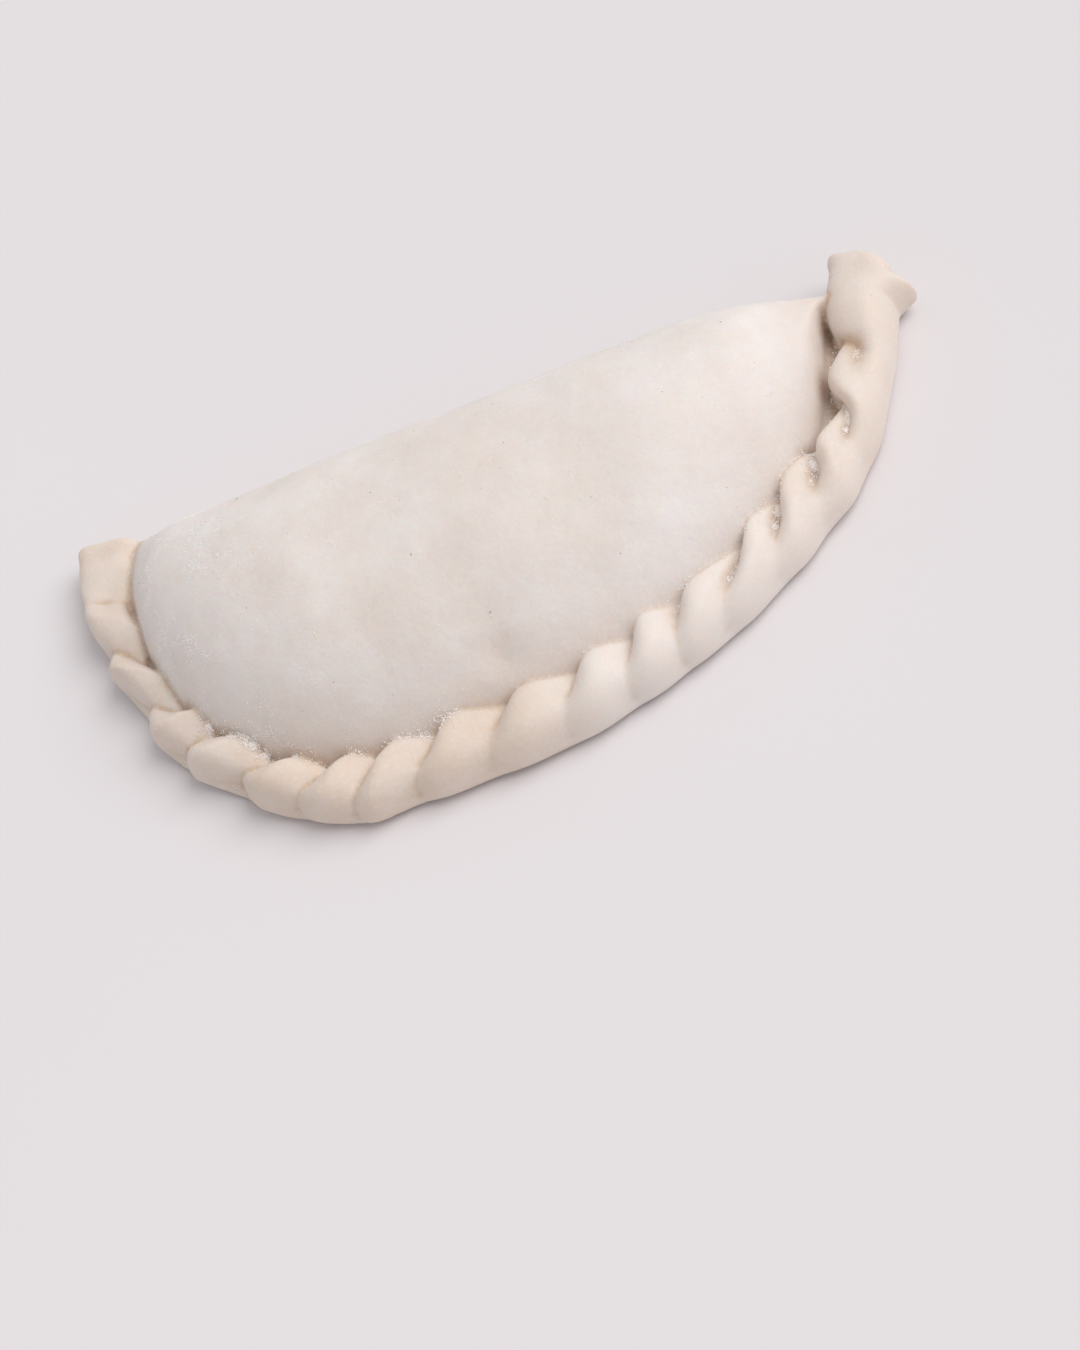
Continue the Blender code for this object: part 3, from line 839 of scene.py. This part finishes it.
def flour_material(settings):
    """Dry flour: nearly white, with a little warmth in places."""
    material, tree, shader = new_material("loose_flour")
    patches, speckles = mottle(tree, 2.0 * MM, 0.3 * MM)
    warm = ranged(tree, patches, 0.35, 0.65, 0.0, 0.6)
    colour = blended(tree, warm, settings.flour_colour, settings.grain_colour)
    tree.links.new(colour, shader.inputs["Base Color"])
    tree.links.new(ranged(tree, speckles, 0.3, 0.7, 0.6, 0.9), shader.inputs["Roughness"])
    return material


# Place counted in folds, and how thickly flour lies there: in the hollows, and along the inner edge
ROPE_FLOUR = ((0.0, 0.0, 0.0), (3.3, 0.0, 0.03), (4.0, 0.0, 0.9), (5.3, 0.0, 0.8), (6.2, 0.0, 0.25),
              (7.4, 0.0, 0.25), (7.9, 0.0, 0.7), (8.5, 0.0, 0.05), (11.2, 0.15, 0.05), (12.2, 1.0, 0.2),
              (16.3, 1.0, 0.35), (16.9, 0.15, 0.6), (17.3, 0.0, 0.0))
# How thickly it lies on the case, from its left end to its right one
CASE_FLOUR = ((-0.062, 1.0), (-0.046, 1.0), (-0.030, 0.35), (0.000, 0.12), (0.040, 0.06), (0.062, 0.03))
CLUMP_SIZE = 1.1 * MM
CLOUD_SIZE = 5.0 * MM
# How strongly the cover rubs off into the dough's colour, from the creases and from the case
CREASE_RUB = 0.25
CASE_RUB = 0.6

# The grains: their shares in creases and in clusters, the clusters' number and size, how thinly they lie
# everywhere, their widths in each group, and how their sizes spread
IN_CREASES = 0.60
IN_CLUSTERS = 0.22
CLUSTERS = 260
CLUSTER_LENGTHS = (0.3, 1.3)
CLUSTER_WIDTH = 0.22
EVERYWHERE = 0.02
GROUP_WIDTHS = (1.0, 0.72, 0.65)
SIZE_SPREAD = 0.35
LARGEST = 0.5
GRAIN_SUNK = 0.15
SPECK_SUNK = 0.35


def flour_cover(skin):
    """(flour on and along the rope, flour over the case, facing up), from 0 to 1 at each point."""
    rope = skin.kept("rope")
    facing_up = smooth_step((skin.normals()[:, 2] - 0.1) / 0.5)
    in_hollows, along_edge = eased(ROPE_FLOUR, skin.kept("place")).T
    inner = smooth_step((0.70 - skin.kept("out_share")) / 0.3)
    hollows = in_hollows * rope * inner * smooth_step((skin.kept("sunk") - 0.55) / 0.5)
    clumps = smooth_step(0.4 + 1.4 * cloudy(skin.points, CLUMP_SIZE, GRAIN_SEED + 2))
    creases = np.maximum(hollows, along_edge * skin.kept("joint")) * mixed(0.25, 1.0, clumps)
    clouds = smooth_step(0.30 + 1.2 * cloudy(skin.points, CLOUD_SIZE, GRAIN_SEED + 1))
    over_case = eased(CASE_FLOUR, skin.points[:, 0])[:, 0] * clouds * clumps * (1.0 - rope)
    return creases * facing_up, np.maximum(over_case, skin.kept("caked")) * facing_up, facing_up


def crystal():
    """(points, triangles) of an octahedron, one across."""
    points = np.array([(0.5, 0, 0), (-0.5, 0, 0), (0, 0.5, 0), (0, -0.5, 0), (0, 0, 0.5), (0, 0, -0.5)])
    faces = np.array([(0, 2, 4), (2, 1, 4), (1, 3, 4), (3, 0, 4),
                      (2, 0, 5), (1, 2, 5), (3, 1, 5), (0, 3, 5)])
    return points, faces


def scattered(data, weights, count, draw):
    """(places, normals) of random spots on a mesh's faces, as dense as the weights of its points."""
    faces = np.array([face.vertices[:4] for face in data.polygons if len(face.vertices) == 4])
    chances = weights[faces].mean(axis=1)
    chosen = faces[draw.choice(len(faces), size=count, p=chances / chances.sum())]
    shares = draw.random((count, 2))
    across, along = shares[:, :1], shares[:, 1:]
    parts = ((1 - across) * (1 - along), across * (1 - along), across * along, (1 - across) * along)
    skin = Skin(data)
    normals = skin.normals()
    place = sum(skin.points[chosen[:, i]] * parts[i] for i in range(4))
    facing = sum(normals[chosen[:, i]] * parts[i] for i in range(4))
    return place, facing / np.linalg.norm(facing, axis=1, keepdims=True)


def clustered(data, weights, count, draw):
    """(places, normals) of spots in small drawn-out clusters on a mesh."""
    centres, facing = scattered(data, weights, CLUSTERS, draw)
    run = np.cross(facing, draw.normal(size=(CLUSTERS, 3)))
    run /= np.linalg.norm(run, axis=1, keepdims=True)
    side = np.cross(facing, run)
    lengths = draw.uniform(*CLUSTER_LENGTHS, CLUSTERS) * MM
    member = draw.integers(CLUSTERS, size=count)
    along = draw.normal(size=count) * lengths[member]
    across = draw.normal(size=count) * CLUSTER_WIDTH * MM
    spots = centres[member] + run[member] * along[:, None] + side[member] * across[:, None]
    corners = [corner.co for corner in data.vertices]
    tree = BVHTree.FromPolygons(corners, [face.vertices for face in data.polygons])
    found = [tree.find_nearest(Vector(spot)) for spot in spots]
    return np.array([hit[0] for hit in found]), np.array([hit[1] for hit in found])


def grains(name, place, facing, sizes, sunk, draw):
    """One mesh of crystals of random shape at these places, each sunk by a share of its size."""
    corners, triangles = crystal()
    count = len(place)
    turns = np.linalg.qr(draw.normal(size=(count, 3, 3)))[0]
    turns[np.linalg.det(turns) < 0] *= -1.0
    stretch = draw.uniform(0.6, 1.3, (count, 1, 3))
    shapes = corners[None] * stretch * draw.uniform(0.8, 1.2, (count, len(corners), 1))
    points = np.einsum("gpi,gij->gpj", shapes, turns) * sizes[:, None, None]
    points += (place + facing * (sizes * (0.4 - sunk))[:, None])[:, None]
    faces = triangles[None] + (np.arange(count) * len(corners))[:, None, None]
    data = bpy.data.meshes.new(name)
    data.from_pydata(points.reshape(-1, 3).tolist(), [], faces.reshape(-1, 3).tolist())
    return linked(name, data)


def loose_flour(settings, dough):
    """Loose grains and clumps of flour as one mesh."""
    draw = np.random.default_rng(GRAIN_SEED)
    creases, over_case, facing_up = flour_cover(Skin(dough.data))
    in_creases = int(settings.grain_count * IN_CREASES)
    in_clusters = int(settings.grain_count * IN_CLUSTERS)
    single = settings.grain_count - in_creases - in_clusters
    groups = (scattered(dough.data, creases**2, in_creases, draw),
              clustered(dough.data, over_case**1.5, in_clusters, draw),
              scattered(dough.data, over_case + EVERYWHERE * facing_up, single, draw))
    place = np.vstack([group[0] for group in groups])
    facing = np.vstack([group[1] for group in groups])
    widths = np.repeat(GROUP_WIDTHS, (in_creases, in_clusters, single))
    spread = np.exp(np.minimum(draw.normal(0.0, SIZE_SPREAD, len(place)), LARGEST))
    return grains("loose_flour", place, facing, settings.grain_size * widths * spread, GRAIN_SUNK, draw)


def bran_specks(settings, dough):
    """The few dark specks of bran in the case's dough."""
    draw = np.random.default_rng(GRAIN_SEED + 9)
    skin = Skin(dough.data)
    weights = (1.0 - skin.kept("rope")) * smooth_step((skin.normals()[:, 2] - 0.2) / 0.3)
    place, facing = scattered(dough.data, weights, settings.speck_count, draw)
    sizes = 0.5 * settings.grain_size * np.exp(draw.normal(0.3, SIZE_SPREAD, len(place)))
    return grains("bran_specks", place, facing, sizes, SPECK_SUNK, draw)


def camera_axes():
    """The camera's right, up and backward directions."""
    back = Vector((math.sin(AZIMUTH) * math.cos(ELEVATION), -math.cos(AZIMUTH) * math.cos(ELEVATION),
                   math.sin(ELEVATION)))
    level = Vector((math.cos(AZIMUTH), math.sin(AZIMUTH), 0.0))
    rise = back.cross(level)
    right = level * math.cos(ROLL) + rise * math.sin(ROLL)
    up = rise * math.cos(ROLL) - level * math.sin(ROLL)
    return right, up, back


def place_camera():
    """Stands the camera where the photographed piece is seen from."""
    right, up, back = camera_axes()
    data = bpy.data.cameras.new("camera")
    data.sensor_fit = "VERTICAL"
    data.sensor_height = SENSOR_MM
    data.lens = LENS_MM
    data.clip_start = 0.01
    data.clip_end = 20.0
    camera = linked("camera", data)
    turn = Matrix((right, up, back)).transposed()
    eye = TIPS_MIDDLE - right * AIM_ACROSS - up * AIM_UP + back * DISTANCE
    camera.matrix_world = Matrix.Translation(eye) @ turn.to_4x4()
    bpy.context.scene.camera = camera


def floor_material(settings):
    """A smooth pale board, with the faintest cloudiness."""
    material, tree, shader = new_material("pale_board")
    patches, _ = mottle(tree, 0.25, 2.0 * MM)
    paler = tuple(min(channel * 1.01, 1.0) for channel in settings.floor_colour)
    colour = blended(tree, ranged(tree, patches, 0.4, 0.6), settings.floor_colour, paler)
    tree.links.new(colour, shader.inputs["Base Color"])
    set_inputs(shader, {"Roughness": 0.9, "Specular IOR Level": 0.1})
    return material


def light_stage(settings):
    """A wide soft light from the upper right, and an even pale surround."""
    data = bpy.data.lights.new("key", "SUN")
    data.energy = settings.key
    data.angle = settings.key_width
    data.color = (1.0, 0.985, 0.965)
    key = linked("key", data)
    level = math.cos(settings.key_elevation)
    towards = Vector((level * math.cos(settings.key_azimuth), level * math.sin(settings.key_azimuth),
                      math.sin(settings.key_elevation)))
    key.rotation_euler = towards.to_track_quat("Z", "Y").to_euler()
    world = bpy.data.worlds.new("surround")
    world.use_nodes = True
    colour = (*settings.surround_colour, 1.0)
    set_inputs(world.node_tree.nodes["Background"], {"Color": colour, "Strength": settings.surround})
    bpy.context.scene.world = world


def colour_setting(name, description, default):
    """A colour that a user may change."""
    return FloatVectorProperty(name=name, description=description, default=default, min=0.0, max=1.0,
                               subtype="COLOR")


def length_setting(name, description, default, least=0.0):
    """A length in metres that a user may change."""
    return FloatProperty(name=name, description=description, default=default, min=least, precision=6,
                         unit="LENGTH")


def share_setting(name, description, default):
    """A share from 0 to 1 that a user may change."""
    return FloatProperty(name=name, description=description, default=default, min=0.0, max=1.0,
                         subtype="FACTOR")


class DoughSettings(bpy.types.PropertyGroup):
    """Sizes and colours of the dough."""

    fineness: length_setting("Fineness", "Size of the mesh's faces", 0.00032, least=0.0001)
    waviness: length_setting("Waviness", "Depth of the soft unevenness of the dough", 0.00009)
    caking: length_setting("Caking", "Height of the ridges of caked flour on the left", 0.00008)
    grain: length_setting("Grain", "Depth of the fine relief that flour gives the dough", 0.000022)
    case_colour: colour_setting("Case", "Bare dough over the filling", (0.805, 0.725, 0.68))
    rope_colour: colour_setting("Rope", "Bare dough of the rope crimp", (0.75, 0.62, 0.525))
    warm_colour: colour_setting("Warm patches", "Where the dough is moister", (0.80, 0.705, 0.64))
    # Painted shade: the case darker and warmer low down, towards the rope
    low_shade_colour: colour_setting("Low on the case", "Dough near the rope", (0.775, 0.675, 0.615))
    # Painted shade in the creases, along the line where rope and case meet, and in the rope's hollows
    crease_shade_colour: colour_setting("Creases", "Moist dough deep in the creases", (0.58, 0.39, 0.24))
    # Painted shade down in the pits between the rope and the case
    pit_shade_colour: colour_setting("Pits", "Dough down between the rope and the case", (0.42, 0.27, 0.17))
    # Paler rope: flour, and painted light on its brighter folds
    rope_flour_and_light_colour: colour_setting("Floury rope", "Where flour pales the rope", (0.825, 0.755, 0.715))
    flour_colour: colour_setting("Flour", "Flour rubbed into the dough", (0.86, 0.81, 0.795))
    roughness: share_setting("Roughness", "Roughness of bare dough", 0.58)
    softness: share_setting("Softness", "How much light spreads inside the dough", 0.35)


class FlourSettings(bpy.types.PropertyGroup):
    """Amount, size and colour of the loose flour and the bran."""

    grain_count: IntProperty(name="Grains", description="Number of loose grains", default=12000,
                             min=100, max=24500)
    grain_size: length_setting("Grain size", "Width of a common grain", 0.00018, least=0.00005)
    flour_colour: colour_setting("Flour", "Colour of most grains", (0.97, 0.925, 0.905))
    grain_colour: colour_setting("Warm grains", "Colour of damp grains", (0.93, 0.84, 0.77))
    speck_count: IntProperty(name="Specks", description="Number of bran specks", default=90,
                             min=1, max=2000)
    speck_colour: colour_setting("Bran", "Colour of the bran specks", (0.30, 0.24, 0.20))


class StageSettings(bpy.types.PropertyGroup):
    """The floor and the lights."""

    floor_colour: colour_setting("Floor", "Colour of the board", (0.80, 0.765, 0.785))
    floor_size: length_setting("Floor size", "Width of the board", 6.0, least=1.0)
    key: FloatProperty(name="Key light", description="Strength of the soft light from the upper right",
                       default=1.75, min=0.0)
    key_width: FloatProperty(name="Key width", description="How wide the light looks from the food",
                             default=math.radians(50.0), min=0.0, max=math.pi, subtype="ANGLE")
    key_azimuth: FloatProperty(name="Key azimuth", description="Where the light stands, from +X to +Y",
                               default=math.radians(2.0), subtype="ANGLE")
    key_elevation: FloatProperty(name="Key elevation", description="How high the light stands",
                                 default=math.radians(52.0), subtype="ANGLE")
    surround: FloatProperty(name="Surround", description="Strength of the even light", default=0.53,
                            min=0.0)
    surround_colour: colour_setting("Surround colour", "Colour of the even light", (1.0, 1.0, 1.0))


class EMPANADA_OT_dough(bpy.types.Operator):
    """Make the dough, case and rope crimp in one skin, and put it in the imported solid's place"""

    bl_idname = "empanada.dough"
    bl_label = "Make dough"

    def execute(self, context):
        settings = context.scene.empanada_dough
        dough = shape_dough(settings)
        skin = Skin(dough.data)
        creases, over_case, _ = flour_cover(skin)
        rubbed = np.maximum(CREASE_RUB * creases, CASE_RUB * over_case)
        skin.keep("flour", skin.blurred(rubbed, 5))
        dough.data.materials.append(dough_material(settings))
        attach(dough, BODY)
        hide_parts(CAD_NODE)
        return {"FINISHED"}


class EMPANADA_OT_flour(bpy.types.Operator):
    """Scatter loose flour in the creases and over the dome"""

    bl_idname = "empanada.flour"
    bl_label = "Scatter flour"

    def execute(self, context):
        settings = context.scene.empanada_flour
        flour = loose_flour(settings, bpy.data.objects["dough"])
        flour.data.materials.append(flour_material(settings))
        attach(flour, BODY)
        return {"FINISHED"}


class EMPANADA_OT_bran(bpy.types.Operator):
    """Put the specks of bran into the dome"""

    bl_idname = "empanada.bran"
    bl_label = "Scatter bran"

    def execute(self, context):
        settings = context.scene.empanada_flour
        specks = bran_specks(settings, bpy.data.objects["dough"])
        specks.data.materials.append(bran_material(settings))
        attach(specks, BODY)
        return {"FINISHED"}


class EMPANADA_OT_stage(bpy.types.Operator):
    """Lay the floor, and set the lights and the camera"""

    bl_idname = "empanada.stage"
    bl_label = "Set stage"

    def execute(self, context):
        settings = context.scene.empanada_stage
        half = settings.floor_size / 2
        sides = ((-half, -half, 0.0), (half, -half, 0.0), (half, half, 0.0), (-half, half, 0.0))
        corners = np.array(sides)
        floor = new_object("floor", corners, [[0, 1, 2, 3]])
        floor.data.materials.append(floor_material(settings))
        light_stage(settings)
        place_camera()
        context.scene.view_settings.view_transform = "Standard"
        return {"FINISHED"}


class EMPANADA_PT_panel(bpy.types.Panel):
    """The empanada's operators and settings"""

    bl_idname = "EMPANADA_PT_panel"
    bl_label = "Raw empanada"
    bl_space_type = "VIEW_3D"
    bl_region_type = "UI"
    bl_category = "Empanada"

    def draw(self, context):
        groups = ((("empanada.dough",), "empanada_dough"),
                  (("empanada.flour", "empanada.bran"), "empanada_flour"),
                  (("empanada.stage",), "empanada_stage"))
        for operators, group_name in groups:
            box = self.layout.box()
            for operator in operators:
                box.operator(operator)
            group = getattr(context.scene, group_name)
            for name in group.__annotations__:
                box.prop(group, name)


CLASSES = (DoughSettings, FlourSettings, StageSettings, EMPANADA_OT_dough, EMPANADA_OT_flour,
           EMPANADA_OT_bran, EMPANADA_OT_stage, EMPANADA_PT_panel)


def register():
    for cls in CLASSES:
        bpy.utils.register_class(cls)
    bpy.types.Scene.empanada_dough = PointerProperty(type=DoughSettings)
    bpy.types.Scene.empanada_flour = PointerProperty(type=FlourSettings)
    bpy.types.Scene.empanada_stage = PointerProperty(type=StageSettings)


def unregister():
    del bpy.types.Scene.empanada_stage
    del bpy.types.Scene.empanada_flour
    del bpy.types.Scene.empanada_dough
    for cls in reversed(CLASSES):
        bpy.utils.unregister_class(cls)


def main():
    register()
    bpy.ops.empanada.dough()
    bpy.ops.empanada.flour()
    bpy.ops.empanada.bran()
    bpy.ops.empanada.stage()


if __name__ == "__main__":
    main()
